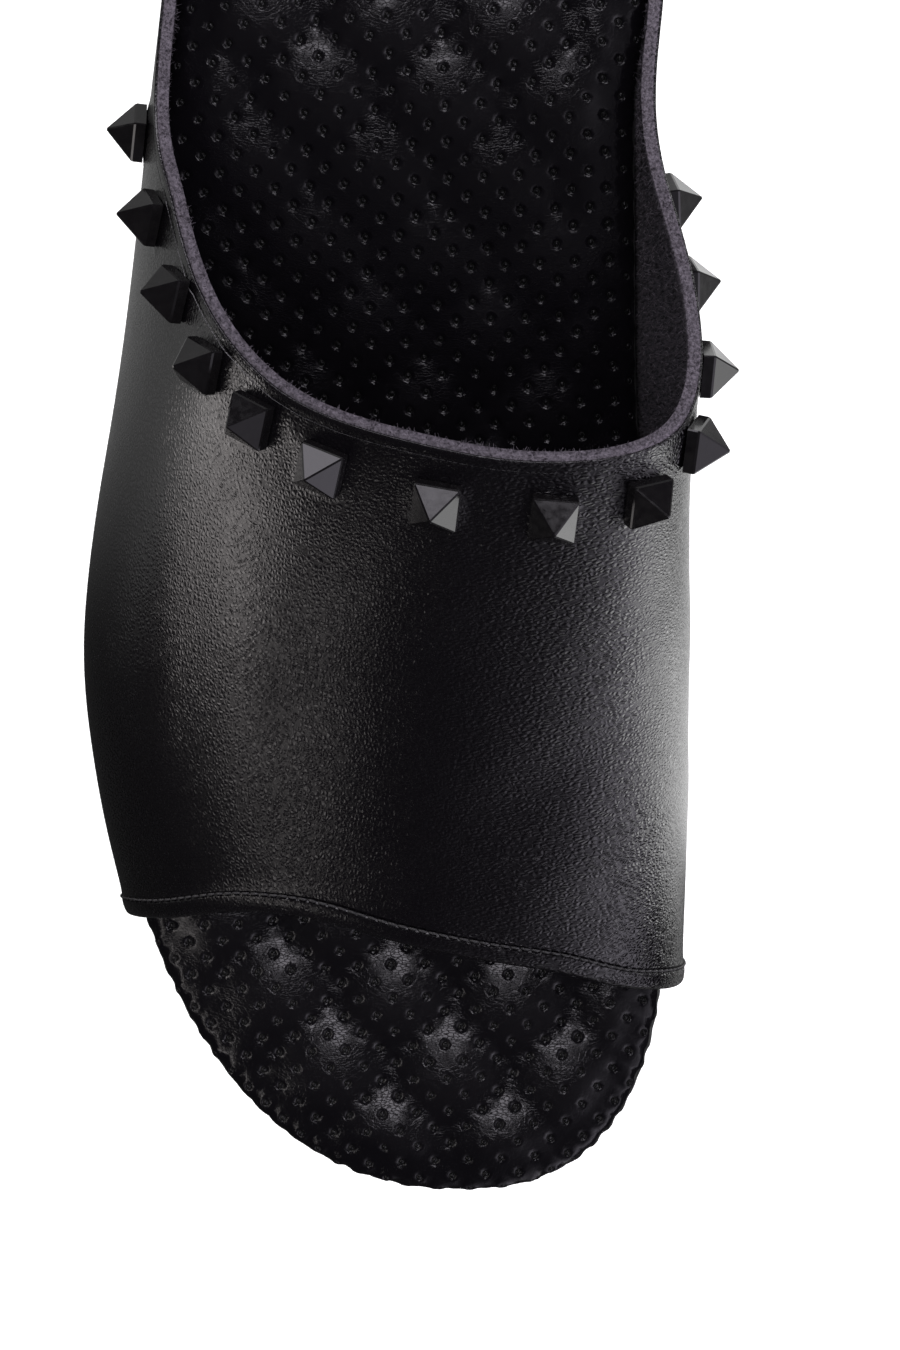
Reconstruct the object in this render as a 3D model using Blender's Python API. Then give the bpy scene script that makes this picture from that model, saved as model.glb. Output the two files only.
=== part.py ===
"""Open-toe, open-back house slipper for the right foot, with a row of pyramid studs round the collar.

Metres, +Z up. The toe points to -Y, the big-toe (medial) side faces +X, and the origin is on the
floor under the middle of the slipper. Tables and sizes are in millimetres: "from_toe" is measured
back from the toe tip, "across" from the drawing line, positive to the medial side, and "around"
runs over the foot, 0 at the lateral edge of the sole, 1 at the medial edge.
"""
import math
from collections import namedtuple

import bmesh
import bpy
import numpy as np
from mathutils import Matrix, Vector

MM = 0.001
GAP = 0.3                  # between pieces that touch

# Driving sizes
LENGTH = 250.0             # footbed, toe tip to heel end
FOREFOOT_TOP = 18.0        # footbed above the floor under the ball
HEEL_RISE = 21.0           # extra height of the footbed under the heel
RISE_FROM, RISE_TO = 95.0, 215.0
TOE_LIFT, TOE_LIFT_FROM = 2.0, 50.0
FOOTBED_THICK = 6.0
RIM_RADIUS = 2.4           # wrapped edge of the footbed
WALL = 2.2                 # leather and lining together
HEM_STEP = 0.5             # folded hem stands out of the wall by this
DRAWING_LINE_X = 8.4       # puts the middle of the whole slipper on X = 0

# Toe and heel roundings of the footbed outline
TOE_CENTRE, HEEL_CENTRE = 1.6, -4.5
TOE_REACH = {"lateral": 93.0, "medial": 45.0}
TOE_POWER = {"lateral": 2.2, "medial": 2.5}
HEEL_REACH, HEEL_POWER = 50.0, 2.2

# Massage bumps of the footbed, a staggered lattice turned slightly to the medial side
BUMP_ACROSS, BUMP_ALONG = 19.4, 11.9
BUMP_START_ACROSS, BUMP_START = -0.3, 24.4
BUMP_TURN = math.radians(3.1)
BUMP_RADIUS, BUMP_HEIGHT = 6.6, 1.3

# Sole
SOLE_LEDGE = 2.4           # the sole reaches out under the wall of the upper
SOLE_FLUSH = 0.2           # and is nearly flush with the footbed at toe and heel
SOLE_DRAFT = 2.0           # the sides slope in towards the floor
TOE_SPRING, SPRING_FROM = 5.0, 42.0
ARCH_LIFT, ARCH_FROM, ARCH_TO = 2.5, 108.0, 178.0
HEEL_BEVEL, HEEL_BEVEL_FROM = 1.5, 238.0

# Studs
STUD_SIDE = 6.7
STUD_SKIRT = 1.7
STUD_POINT = 4.4           # pyramid above the skirt
STUD_EDGE = 0.18

# Mesh density
UPPER_AROUND, UPPER_ALONG = 48, 20
FOOTBED_ACROSS, FOOTBED_ALONG = 26, 66
SOLE_ACROSS, SOLE_ALONG = 8, 56

# Sides of the footbed, before the toe and heel are rounded
Side = namedtuple("Side", "from_toe lateral medial")
SIDES = (
    Side(0.0, -56.6, 34.8),
    Side(70.0, -56.6, 35.0),
    Side(93.0, -56.6, 34.0),
    Side(113.0, -54.2, 31.3),
    Side(129.0, -51.2, 29.9),
    Side(145.0, -48.6, 29.4),
    Side(160.0, -46.5, 29.0),
    Side(175.0, -44.3, 28.7),
    Side(190.0, -41.9, 30.3),
    Side(205.0, -40.2, 31.0),
    Side(250.0, -39.6, 31.0),
)

# Sections of the last: place and height of the ridge, and the fullness of the two sides
Section = namedtuple(
    "Section", "from_toe ridge_across ridge_height lateral_power lateral_lean medial_power medial_lean")
SECTIONS = (
    Section(30.0, 5.0, 43.0, 2.0, 2.0, 2.6, 2.0),
    Section(45.0, 5.0, 47.5, 2.0, 3.0, 2.7, 2.0),
    Section(65.0, 6.0, 54.0, 1.95, 5.0, 2.8, 3.0),
    Section(85.0, 8.0, 62.0, 1.9, 8.0, 2.9, 3.5),
    Section(100.0, 10.0, 70.0, 1.9, 7.0, 3.1, 5.0),
    Section(120.0, 12.0, 80.5, 1.9, 4.0, 3.4, 7.0),
    Section(137.0, 12.0, 88.0, 1.85, 2.0, 3.6, 10.0),
    Section(150.0, 12.0, 92.0, 1.8, 1.0, 3.5, 9.0),
    Section(161.0, 11.0, 95.0, 1.75, 0.0, 3.4, 5.0),
    Section(171.0, 9.0, 97.0, 1.8, 0.0, 3.2, 1.0),
    Section(210.0, 4.0, 102.0, 2.0, 0.0, 3.0, 0.0),
)

# Toe hem and collar of the upper, as lines over the last
Line = namedtuple("Line", "around from_toe")
HEM = (
    Line(0.0, 45.4),
    Line(0.16, 47.3),
    Line(0.3, 50.1),
    Line(0.37, 49.6),
    Line(0.47, 45.9),
    Line(0.57, 43.1),
    Line(0.655, 41.2),
    Line(0.74, 38.0),
    Line(0.82, 36.5),
    Line(1.0, 34.9),
)
COLLAR = (
    Line(0.0, 203.5),
    Line(0.03, 199.0),
    Line(0.055, 189.0),
    Line(0.09, 174.5),
    Line(0.17, 157.5),
    Line(0.26, 140.5),
    Line(0.33, 131.0),
    Line(0.48, 121.3),
    Line(0.56, 119.0),
    Line(0.635, 120.0),
    Line(0.705, 125.5),
    Line(0.75, 132.5),
    Line(0.8, 143.0),
    Line(0.85, 155.0),
    Line(0.91, 168.5),
    Line(0.945, 184.0),
    Line(0.975, 199.0),
    Line(1.0, 203.5),
)

# Studs, from the lateral rear end to the medial one; "turn" is about the surface normal, in degrees
Stud = namedtuple("Stud", "around from_toe turn")
STUDS = (
    Stud(0.045, 170.0, -35.0),
    Stud(0.136, 155.8, -27.0),
    Stud(0.208, 143.8, -25.0),
    Stud(0.266, 133.2, -22.0),
    Stud(0.328, 125.3, -24.0),
    Stud(0.398, 118.5, -22.0),
    Stud(0.494, 113.5, -11.0),
    Stud(0.585, 111.7, -5.0),
    Stud(0.656, 114.0, 12.0),
    Stud(0.713, 121.9, 20.0),
    Stud(0.798, 133.0, 23.0),
    Stud(0.872, 146.1, 26.0),
    Stud(0.922, 159.1, 30.0),
)


def curve(table, column, at):
    """One named column of a table, read smoothly at any value of its first column."""
    stations = np.array([row[0] for row in table])
    values = np.array([getattr(row, column) for row in table])
    slopes = np.gradient(values, stations)
    at = np.clip(np.asarray(at, float), stations[0], stations[-1])
    i = np.clip(np.searchsorted(stations, at, side="right") - 1, 0, len(stations) - 2)
    step = stations[i + 1] - stations[i]
    t = (at - stations[i]) / step
    rise = t * t * (3.0 - 2.0 * t)
    swing = slopes[i] * t * (1.0 - t) ** 2 - slopes[i + 1] * t * t * (1.0 - t)
    return values[i] + (values[i + 1] - values[i]) * rise + step * swing


def ease(t):
    """A smooth step from 0 to 1."""
    t = np.clip(t, 0.0, 1.0)
    return t * t * (3.0 - 2.0 * t)


def round_end(distance, reach, power):
    """Share of the full width left at a distance from a rounded end."""
    t = np.clip(1.0 - distance / reach, 0.0, 1.0)
    return (1.0 - t ** power) ** (1.0 / power)


def footbed_edge(side, s):
    """Where one side of the footbed lies across, at a distance from the toe."""
    toe = round_end(s, TOE_REACH[side], TOE_POWER[side])
    heel = round_end(LENGTH - s, HEEL_REACH, HEEL_POWER)
    across = TOE_CENTRE + (curve(SIDES, side, s) - TOE_CENTRE) * toe
    return HEEL_CENTRE + (across - HEEL_CENTRE) * heel


def footbed_top(s):
    """Height of the footbed without its bumps."""
    rise = HEEL_RISE * ease((s - RISE_FROM) / (RISE_TO - RISE_FROM))
    lift = TOE_LIFT * np.clip(1.0 - s / TOE_LIFT_FROM, 0.0, 1.0) ** 2
    return FOREFOOT_TOP + rise + lift


def place(across, s, z):
    """Points in metres in the slipper's frame."""
    return np.stack([across + DRAWING_LINE_X, s - LENGTH / 2.0, z], axis=-1) * MM


def section(around, s):
    """Outer face of the upper over the last, in millimetres: across, from the toe, up."""
    around, s = np.broadcast_arrays(np.asarray(around, float), np.asarray(s, float))
    foot_z = footbed_top(s) - FOOTBED_THICK
    ridge_x = curve(SECTIONS, "ridge_across", s)
    height = curve(SECTIONS, "ridge_height", s) - foot_z
    angle = np.linspace(0.0, math.pi / 2.0, 40)
    halves = []
    for side, out in (("lateral", -1.0), ("medial", 1.0)):
        power = curve(SECTIONS, side + "_power", s)[..., None]
        lean = curve(SECTIONS, side + "_lean", s)[..., None]
        half = out * (footbed_edge(side, s) - ridge_x)[..., None] + GAP + WALL
        up = np.sin(angle) ** (2.0 / power)
        reach = np.cos(angle) ** (2.0 / power)
        x = ridge_x[..., None] + out * (half + lean * up) * reach
        z = foot_z[..., None] + height[..., None] * up
        halves.append(np.stack([x, z], axis=-1))
    arch = np.concatenate([halves[0], halves[1][..., -2::-1, :]], axis=-2)
    steps = np.linalg.norm(np.diff(arch, axis=-2), axis=-1)
    run = np.concatenate([np.zeros(steps.shape[:-1] + (1,)), np.cumsum(steps, axis=-1)], axis=-1)
    flat_run = run.reshape(-1, run.shape[-1])
    flat_arch = arch.reshape(-1, run.shape[-1], 2)
    points = []
    for u, line, xz in zip(around.ravel(), flat_run, flat_arch):
        at = u * line[-1]
        points.append((np.interp(at, line, xz[:, 0]), np.interp(at, line, xz[:, 1])))
    points = np.array(points).reshape(around.shape + (2,))
    return np.stack([points[..., 0], s, points[..., 1]], axis=-1)


def outward(around, s):
    """Outward unit normals of the upper's outer face; level along the sole."""
    du, ds = 0.004, 0.5
    low, high = np.clip(around - du, 0.0, 1.0), np.clip(around + du, 0.0, 1.0)
    over = section(high, s) - section(low, s)
    back = section(around, s + ds) - section(around, s - ds)
    normal = np.cross(over, back)
    above = section(around, s)[..., 2] - (footbed_top(s) - FOOTBED_THICK)
    normal[..., 2] *= np.clip(above / 4.0, 0.0, 1.0)
    return normal / np.linalg.norm(normal, axis=-1, keepdims=True)


def upper_station(around, along):
    """Place along the foot of a point of the upper, and its distance from the toe hem."""
    rows = along * UPPER_ALONG
    band = np.interp(rows, [0.0, 1.0, 2.0, 3.0], [0.0, 0.7, 2.6, 3.3])
    hem = curve(HEM, "from_toe", around)
    collar = curve(COLLAR, "from_toe", around)
    share = np.clip((rows - 3.0) / (UPPER_ALONG - 3.0), 0.0, 1.0)
    return hem + band + (collar - hem - band) * share, band + share * 100.0


def upper_spread(u):
    """Closer rows near the sole, where the collar runs low."""
    return u - 0.55 * np.sin(2.0 * math.pi * u) / (2.0 * math.pi)


def upper_outside(u, v):
    around = upper_spread(u)
    s, from_hem = upper_station(around, v)
    step = HEM_STEP * np.interp(from_hem, [0.0, 0.7, 2.6, 3.3], [0.5, 1.0, 1.0, 0.0])
    points = section(around, s) + outward(around, s) * step[..., None]
    return place(points[..., 0], points[..., 1], points[..., 2])


def upper_inside(u, v):
    around = upper_spread(u)
    s, _ = upper_station(around, v)
    points = section(around, s) - outward(around, s) * WALL
    return place(points[..., 0], points[..., 1], points[..., 2])


def footbed_place(u, v):
    """Across and along places of the footbed's grid, closer near the rim."""
    s = LENGTH * (v - 0.55 * np.sin(2.0 * math.pi * v) / (2.0 * math.pi))
    s = np.clip(s, 0.25, LENGTH - 0.25)
    lateral, medial = footbed_edge("lateral", s), footbed_edge("medial", s)
    share = 0.5 + 0.5 * np.sin(math.pi * (u - 0.5))
    return lateral + (medial - lateral) * share, s


def rim_distance(across, s):
    """Distance of footbed points from its outline."""
    run = LENGTH * 0.5 * (1.0 - np.cos(np.linspace(0.0, math.pi, 240)))
    sides = [np.stack([footbed_edge(side, run), run], axis=-1) for side in ("lateral", "medial")]
    loop = np.concatenate([sides[0], sides[1][::-1]])
    start, span = loop[:-1], np.diff(loop, axis=0)
    size = np.maximum((span ** 2).sum(axis=-1), 1e-12)
    points = np.stack([across, s], axis=-1)
    nearest = np.full(len(points), 1e9)
    for a, d, n in zip(start, span, size):
        t = np.clip(((points - a) @ d) / n, 0.0, 1.0)
        nearest = np.minimum(nearest, np.linalg.norm(points - a - t[:, None] * d, axis=-1))
    return nearest


def bump_height(across, s):
    """Massage bumps: two interleaved square-on lattices of soft domes."""
    dx, ds = across - BUMP_START_ACROSS, s - BUMP_START
    a = (dx * math.cos(BUMP_TURN) - ds * math.sin(BUMP_TURN)) / BUMP_ACROSS
    b = (dx * math.sin(BUMP_TURN) + ds * math.cos(BUMP_TURN)) / (2.0 * BUMP_ALONG)
    height = np.zeros_like(a)
    for shift in (0.0, 0.5):
        da = (a - shift - np.round(a - shift)) * BUMP_ACROSS
        db = (b - shift - np.round(b - shift)) * 2.0 * BUMP_ALONG
        away = np.clip(np.hypot(da, db) / BUMP_RADIUS, 0.0, 1.0)
        height = np.maximum(height, BUMP_HEIGHT * 0.5 * (1.0 + np.cos(math.pi * away)))
    return height


def footbed_upside(u, v):
    across, s = footbed_place(u, v)
    rim = rim_distance(across, s)
    inset = np.clip(RIM_RADIUS - rim, 0.0, RIM_RADIUS)
    fall = RIM_RADIUS - np.sqrt(RIM_RADIUS ** 2 - inset ** 2)
    bumps = bump_height(across, s) * ease((rim - 3.0) / 5.0)
    return place(across, s, footbed_top(s) - fall + bumps)


def footbed_underside(u, v):
    across, s = footbed_place(u, v)
    return place(across, s, footbed_top(s) - FOOTBED_THICK)


def sole_place(u, v, inset):
    s = LENGTH * (v - 0.6 * np.sin(2.0 * math.pi * v) / (2.0 * math.pi))
    at = np.clip(s, 0.3, LENGTH - 0.3)
    edges = []
    for side, out, around in (("lateral", -1.0, 0.0), ("medial", 1.0, 1.0)):
        front = curve(HEM, "from_toe", around)
        rear = curve(COLLAR, "from_toe", around)
        under_wall = ease((at - front + 2.0) / 12.0) * ease((rear + 4.0 - at) / 14.0)
        edge = footbed_edge(side, at) + out * (SOLE_FLUSH + (SOLE_LEDGE - SOLE_FLUSH) * under_wall)
        edges.append(edge - out * inset * round_end(at, 30.0, 2.0) * round_end(LENGTH - at, 30.0, 2.0))
    tip = np.where(v < 0.5, 1.0, -1.0) * (1.0 - round_end(np.minimum(at, LENGTH - at), 30.0, 2.0))
    along = (at - LENGTH / 2.0) * (1.0 + 2.0 * SOLE_FLUSH / LENGTH) + LENGTH / 2.0 + tip * inset
    return edges[0] + (edges[1] - edges[0]) * u, along


def sole_upside(u, v):
    across, s = sole_place(u, v, 0.0)
    return place(across, s, footbed_top(np.clip(s, 0.0, LENGTH)) - FOOTBED_THICK - GAP)


def sole_underside(u, v):
    across, s = sole_place(u, v, SOLE_DRAFT)
    spring = TOE_SPRING * np.clip(1.0 - s / SPRING_FROM, 0.0, 1.0) ** 2
    arch = ARCH_LIFT * np.sin(math.pi * np.clip((s - ARCH_FROM) / (ARCH_TO - ARCH_FROM), 0.0, 1.0)) ** 2
    bevel = HEEL_BEVEL * np.clip((s - HEEL_BEVEL_FROM) / (LENGTH - HEEL_BEVEL_FROM), 0.0, 1.0) ** 2
    return place(across, s, spring + arch + bevel)


def plain_material(name, colour, roughness, metallic=0.0):
    material = bpy.data.materials.new(name)
    material.use_nodes = True
    shader = material.node_tree.nodes["Principled BSDF"]
    shader.inputs["Base Color"].default_value = (*colour, 1.0)
    shader.inputs["Roughness"].default_value = roughness
    shader.inputs["Metallic"].default_value = metallic
    material.diffuse_color = (*colour, 1.0)
    return material


def add_object(name, bm, material, collection):
    mesh = bpy.data.meshes.new(name)
    bm.to_mesh(mesh)
    bm.free()
    mesh.materials.append(material)
    item = bpy.data.objects.new(name, mesh)
    collection.objects.link(item)
    return item


def thick_sheet(across, along, front, back, flat_back=False):
    """A unit grid doubled by extrusion; "front" and "back" bring its two faces into shape."""
    bm = bmesh.new()
    bmesh.ops.create_grid(bm, x_segments=across, y_segments=along, size=0.5)
    front_verts = bm.verts[:]
    grown = bmesh.ops.extrude_face_region(bm, geom=bm.faces[:], use_keep_orig=True)["geom"]
    back_verts = [item for item in grown if isinstance(item, bmesh.types.BMVert)]
    for verts, shape in ((front_verts, front), (back_verts, back)):
        uv = np.array([(v.co.x + 0.5, v.co.y + 0.5) for v in verts])
        for vert, point in zip(verts, shape(uv[:, 0], uv[:, 1])):
            vert.co = point
    if flat_back:
        merge_strips(bm, set(back_verts))
    bmesh.ops.recalc_face_normals(bm, faces=bm.faces[:])
    return bm


def merge_strips(bm, back_verts):
    """Join the squares of each flat cross strip of the underside, which is straight from side to side."""
    seams = []
    for edge in bm.edges:
        inside = all(vert in back_verts for face in edge.link_faces for vert in face.verts)
        lengthwise = abs(edge.verts[0].co.y - edge.verts[1].co.y) > 1e-7
        if inside and lengthwise:
            seams.append(edge)
    bmesh.ops.dissolve_edges(bm, edges=seams, use_verts=False)
    spare = [v for v in back_verts if v.is_valid and len(v.link_edges) == 2]
    bmesh.ops.dissolve_verts(bm, verts=spare)


def stud(name, row, material, collection):
    """A square block with a pyramid on it, standing on the upper."""
    bm = bmesh.new()
    bmesh.ops.create_cube(bm, size=1.0)
    bmesh.ops.scale(bm, vec=Vector((STUD_SIDE, STUD_SIDE, STUD_SKIRT)) * MM, verts=bm.verts[:])
    bmesh.ops.translate(bm, vec=(0.0, 0.0, STUD_SKIRT / 2.0 * MM), verts=bm.verts[:])
    top = [face for face in bm.faces if face.normal.z > 0.5]
    point = bmesh.ops.poke(bm, faces=top)["verts"]
    bmesh.ops.translate(bm, vec=(0.0, 0.0, STUD_POINT * MM), verts=point)
    edges = [edge for edge in bm.edges if max(v.co.z for v in edge.verts) > 1e-6]
    bmesh.ops.bevel(bm, geom=edges, offset=STUD_EDGE * MM, offset_type="OFFSET", segments=1,
                    profile=0.5, affect="EDGES", clamp_overlap=True)
    s = row.from_toe
    at, normal = section(row.around, s), outward(np.array(row.around), np.array(s))
    over = section(row.around + 0.01, s) - section(row.around - 0.01, s)
    z_axis = Vector(normal)
    x_axis = Vector(over)
    x_axis = (x_axis - z_axis * x_axis.dot(z_axis)).normalized()
    y_axis = z_axis.cross(x_axis)
    turn = Matrix((x_axis, y_axis, z_axis)).transposed() @ Matrix.Rotation(math.radians(row.turn), 3, "Z")
    foot = Vector(place(*(at + normal * GAP)))
    bm.transform(Matrix.Translation(foot) @ turn.to_4x4())
    return add_object(name, bm, material, collection)


def main():
    for item in list(bpy.data.objects):
        bpy.data.objects.remove(item, do_unlink=True)
    slipper = bpy.data.collections.new("house_slipper")
    bpy.context.scene.collection.children.link(slipper)
    sole_black = plain_material("sole_rubber", (0.018, 0.018, 0.019), 0.6)
    footbed_black = plain_material("footbed_leather", (0.012, 0.012, 0.013), 0.32)
    leather_black = plain_material("upper_leather", (0.016, 0.015, 0.015), 0.45)
    stud_black = plain_material("stud_enamel", (0.01, 0.01, 0.011), 0.25)

    add_object("outsole", thick_sheet(SOLE_ACROSS, SOLE_ALONG, sole_upside, sole_underside),
               sole_black, slipper)
    add_object("insole", thick_sheet(FOOTBED_ACROSS, FOOTBED_ALONG, footbed_upside, footbed_underside,
                                     flat_back=True), footbed_black, slipper)
    add_object("upper", thick_sheet(UPPER_AROUND, UPPER_ALONG, upper_outside, upper_inside),
               leather_black, slipper)
    for number, row in enumerate(STUDS, start=1):
        stud(f"stud_{number:02d}", row, stud_black, slipper)


if __name__ == "__main__":
    main()
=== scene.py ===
# %% [markdown]
# # A studded house slipper
# This lesson dresses the CAD model of a slipper for the right foot: an open-toe, open-back mule with a
# leather vamp, a raw felt edge round the collar, a row of pyramid studs and a bumpy, pricked footbed.
# The CAD solids say how big everything is and where it sits. They are loaded first and never changed.

# %% Load the frame
import math
import random
from collections import namedtuple

import bmesh
import bpy
import numpy as np
from mathutils import Matrix, Quaternion, Vector
from mathutils.bvhtree import BVHTree
from mathutils.kdtree import KDTree


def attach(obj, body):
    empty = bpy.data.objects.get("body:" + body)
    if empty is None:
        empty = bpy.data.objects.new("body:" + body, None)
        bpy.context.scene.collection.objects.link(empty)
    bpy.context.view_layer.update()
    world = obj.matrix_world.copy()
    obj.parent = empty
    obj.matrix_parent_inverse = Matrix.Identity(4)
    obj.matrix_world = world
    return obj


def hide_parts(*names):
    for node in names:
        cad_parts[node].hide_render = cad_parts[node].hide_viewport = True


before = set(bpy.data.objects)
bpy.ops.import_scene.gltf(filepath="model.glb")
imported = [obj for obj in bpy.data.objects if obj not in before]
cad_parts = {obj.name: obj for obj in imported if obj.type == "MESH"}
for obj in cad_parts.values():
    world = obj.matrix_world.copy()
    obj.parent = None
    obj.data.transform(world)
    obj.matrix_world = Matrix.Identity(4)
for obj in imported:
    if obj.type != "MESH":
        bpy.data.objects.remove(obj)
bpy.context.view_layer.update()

MM = 0.001

# %% [markdown]
# ## Camera
# The slipper is seen from straight above, with the toe at the bottom of the picture and the heel running
# out at the top. A camera at rest in Blender looks straight down with +Y up, so it only needs to be lifted,
# moved a little to the medial side and to the toe, and tipped four degrees to the toe. The long lens is that
# of a product photograph.

# %% Camera
CAMERA_PLACE = (0.0084, -0.0086, 0.4669)
CAMERA_TIP = math.radians(-4.0)
LENS, SENSOR = 73.8, 36.0

bpy.ops.object.camera_add(location=CAMERA_PLACE, rotation=(CAMERA_TIP, 0.0, 0.0))
camera = bpy.context.object
camera.name = "camera"
camera.data.sensor_fit = "VERTICAL"
camera.data.sensor_height = SENSOR
camera.data.sensor_width = SENSOR
camera.data.lens = LENS
bpy.context.scene.camera = camera
print("camera at", CAMERA_PLACE, "lens", LENS)

# %% [markdown]
# ## Working by hand, in code
# Every operator in Blender acts on what is selected. These few helpers do what the mouse does: pick one
# object, open it in edit mode with nothing selected, apply a modifier, add a new primitive or copy a solid.
# Loading leaves the CAD nodes selected, so everything is deselected first, every time.

# %% Hands
MERGE_WITHIN = 0.001       # points of a solid this close are one


def only(piece):
    """Select one object and make it the active one."""
    bpy.ops.object.select_all(action="DESELECT")
    piece.select_set(True)
    bpy.context.view_layer.objects.active = piece


def edit(piece, kind):
    """Open a piece in edit mode with nothing selected."""
    only(piece)
    bpy.ops.object.mode_set(mode="EDIT")
    bpy.ops.mesh.select_mode(type=kind)
    bpy.ops.mesh.select_all(action="DESELECT")
    return bmesh.from_edit_mesh(piece.data)


def mark(piece, items, wanted):
    """Select the faces, edges or vertices for which wanted(item) is true."""
    for item in items:
        item.select_set(bool(wanted(item)))
    bmesh.update_edit_mesh(piece.data)


def leave():
    bpy.ops.object.mode_set(mode="OBJECT")


def apply(piece, kind, **settings):
    """Add a modifier and apply it at once."""
    only(piece)
    modifier = piece.modifiers.new(kind.lower(), kind)
    for name, value in settings.items():
        setattr(modifier, name, value)
    bpy.ops.object.modifier_apply(modifier=modifier.name)


def fresh(operator, name, **settings):
    """A new primitive, named, its place and turn taken up by its mesh."""
    bpy.ops.object.select_all(action="DESELECT")
    operator(**settings)
    piece = bpy.context.object
    piece.name = piece.data.name = name
    bpy.ops.object.transform_apply(location=True, rotation=True, scale=True)
    return piece


def smooth(piece, levels):
    apply(piece, "SUBSURF", levels=levels, render_levels=levels)


def points_of(piece):
    flat = np.empty(len(piece.data.vertices) * 3)
    piece.data.vertices.foreach_get("co", flat)
    return flat.reshape(-1, 3)


def move_points(piece, points):
    piece.data.vertices.foreach_set("co", np.asarray(points, np.float32).ravel())
    piece.data.update()


def keep_value(piece, name, values):
    """Store one number per vertex, for a material to read."""
    attribute = piece.data.attributes.new(name, "FLOAT", "POINT")
    attribute.data.foreach_set("value", np.asarray(values, np.float32))


def copy_of(node, name):
    """A free copy of a CAD node, its loose triangles merged into one skin."""
    only(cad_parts[node])
    bpy.ops.object.duplicate()
    piece = bpy.context.object
    piece.name = piece.data.name = name
    piece.parent = None
    for key in list(piece.keys()):
        del piece[key]
    piece.data.materials.clear()
    edit(piece, "VERT")
    bpy.ops.mesh.select_all(action="SELECT")
    bpy.ops.mesh.remove_doubles(threshold=MERGE_WITHIN * MM)
    bpy.ops.mesh.customdata_custom_splitnormals_clear()
    leave()
    return piece


def count(piece):
    piece.data.calc_loop_triangles()
    return f"{piece.name}: {len(piece.data.loop_triangles)} triangles"


# %% [markdown]
# ## The shape of the footbed
# The footbed is the ground everything else stands on. Its outline is a foot shape with a slanted round toe,
# its top lies level under the ball and climbs to the heel. The same few measurements that drive the CAD
# solids are repeated here, in millimetres, so that finer skins can be laid exactly over them.
# "across" is positive to the big toe, "from_toe" runs back from the tip of the toe.

# %% Footbed measurements
LENGTH = 250.0
FOREFOOT_TOP, HEEL_RISE = 18.0, 21.0
RISE_FROM, RISE_TO = 95.0, 215.0
TOE_LIFT, TOE_LIFT_FROM = 2.0, 50.0
FOOTBED_THICK, RIM_RADIUS = 6.0, 1.6
DRAWING_LINE_X = 8.4
TOE_CENTRE, HEEL_CENTRE = 1.6, -4.5
TOE_REACH = {"lateral": 93.0, "medial": 45.0}
TOE_POWER = {"lateral": 2.2, "medial": 2.5}
HEEL_REACH, HEEL_POWER = 50.0, 2.2
Side = namedtuple("Side", "from_toe lateral medial")
SIDES = (
    Side(0.0, -56.6, 34.8), Side(70.0, -56.6, 35.0), Side(93.0, -56.6, 34.0), Side(113.0, -54.2, 31.3),
    Side(129.0, -51.2, 29.9), Side(145.0, -48.6, 29.4), Side(160.0, -46.5, 29.0), Side(175.0, -44.3, 28.7),
    Side(190.0, -41.9, 30.3), Side(205.0, -40.2, 31.0), Side(250.0, -39.6, 31.0),
)


def curve(table, column, at):
    """One named column of a table, read smoothly at any value of its first column."""
    stations = np.array([row[0] for row in table])
    values = np.array([getattr(row, column) for row in table])
    slopes = np.gradient(values, stations)
    at = np.clip(np.asarray(at, float), stations[0], stations[-1])
    i = np.clip(np.searchsorted(stations, at, side="right") - 1, 0, len(stations) - 2)
    step = stations[i + 1] - stations[i]
    t = (at - stations[i]) / step
    swing = slopes[i] * t * (1.0 - t) ** 2 - slopes[i + 1] * t * t * (1.0 - t)
    return values[i] + (values[i + 1] - values[i]) * ease(t) + step * swing


def ease(t):
    """A smooth step from 0 to 1."""
    t = np.clip(t, 0.0, 1.0)
    return t * t * (3.0 - 2.0 * t)


def round_end(distance, reach, power):
    """Share of the full width left at a distance from a rounded end."""
    t = np.clip(1.0 - distance / reach, 0.0, 1.0)
    return (1.0 - t ** power) ** (1.0 / power)


def footbed_edge(side, s):
    """Where one side of the footbed lies across, at a distance from the toe."""
    toe = round_end(s, TOE_REACH[side], TOE_POWER[side])
    heel = round_end(LENGTH - s, HEEL_REACH, HEEL_POWER)
    across = TOE_CENTRE + (curve(SIDES, side, s) - TOE_CENTRE) * toe
    return HEEL_CENTRE + (across - HEEL_CENTRE) * heel


def footbed_top(s):
    """Height of the footbed without its bumps."""
    rise = HEEL_RISE * ease((s - RISE_FROM) / (RISE_TO - RISE_FROM))
    lift = TOE_LIFT * np.clip(1.0 - s / TOE_LIFT_FROM, 0.0, 1.0) ** 2
    return FOREFOOT_TOP + rise + lift


def place(across, s, z):
    """Points in metres in the slipper's frame."""
    return np.stack([across + DRAWING_LINE_X, s - LENGTH / 2.0, z], axis=-1) * MM


def from_toe(points):
    """Distance from the toe, in millimetres, of points in metres."""
    return points[..., 1] / MM + LENGTH / 2.0


print("footbed top at ball and heel:", footbed_top(90.0), footbed_top(220.0))

# %% [markdown]
# ## Reading the vamp from its solid
# The vamp is the one piece of leather over the foot. Its solid is a hollow arch of two faces, outer and
# inner, joined by narrow rims. Real leather and real felt are two layers, so the copy is split along its
# sharp rims and each face is read as an even net of points: a point's row is the number of steps from the
# toe hem, and its column the number of steps from the lateral edge of the sole.

# %% Split the copy into outer and inner face
AROUND, ALONG = 48, 20
SHARP_RIM = math.radians(55.0)
AT_FOOT = 0.1              # this close to the bottom of the footbed, a point is on the sole
HEM_BEFORE = 60.0          # the hem lies nearer the toe than this, the collar farther


def face_area(piece):
    return sum(face.area for face in piece.data.polygons)


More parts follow.
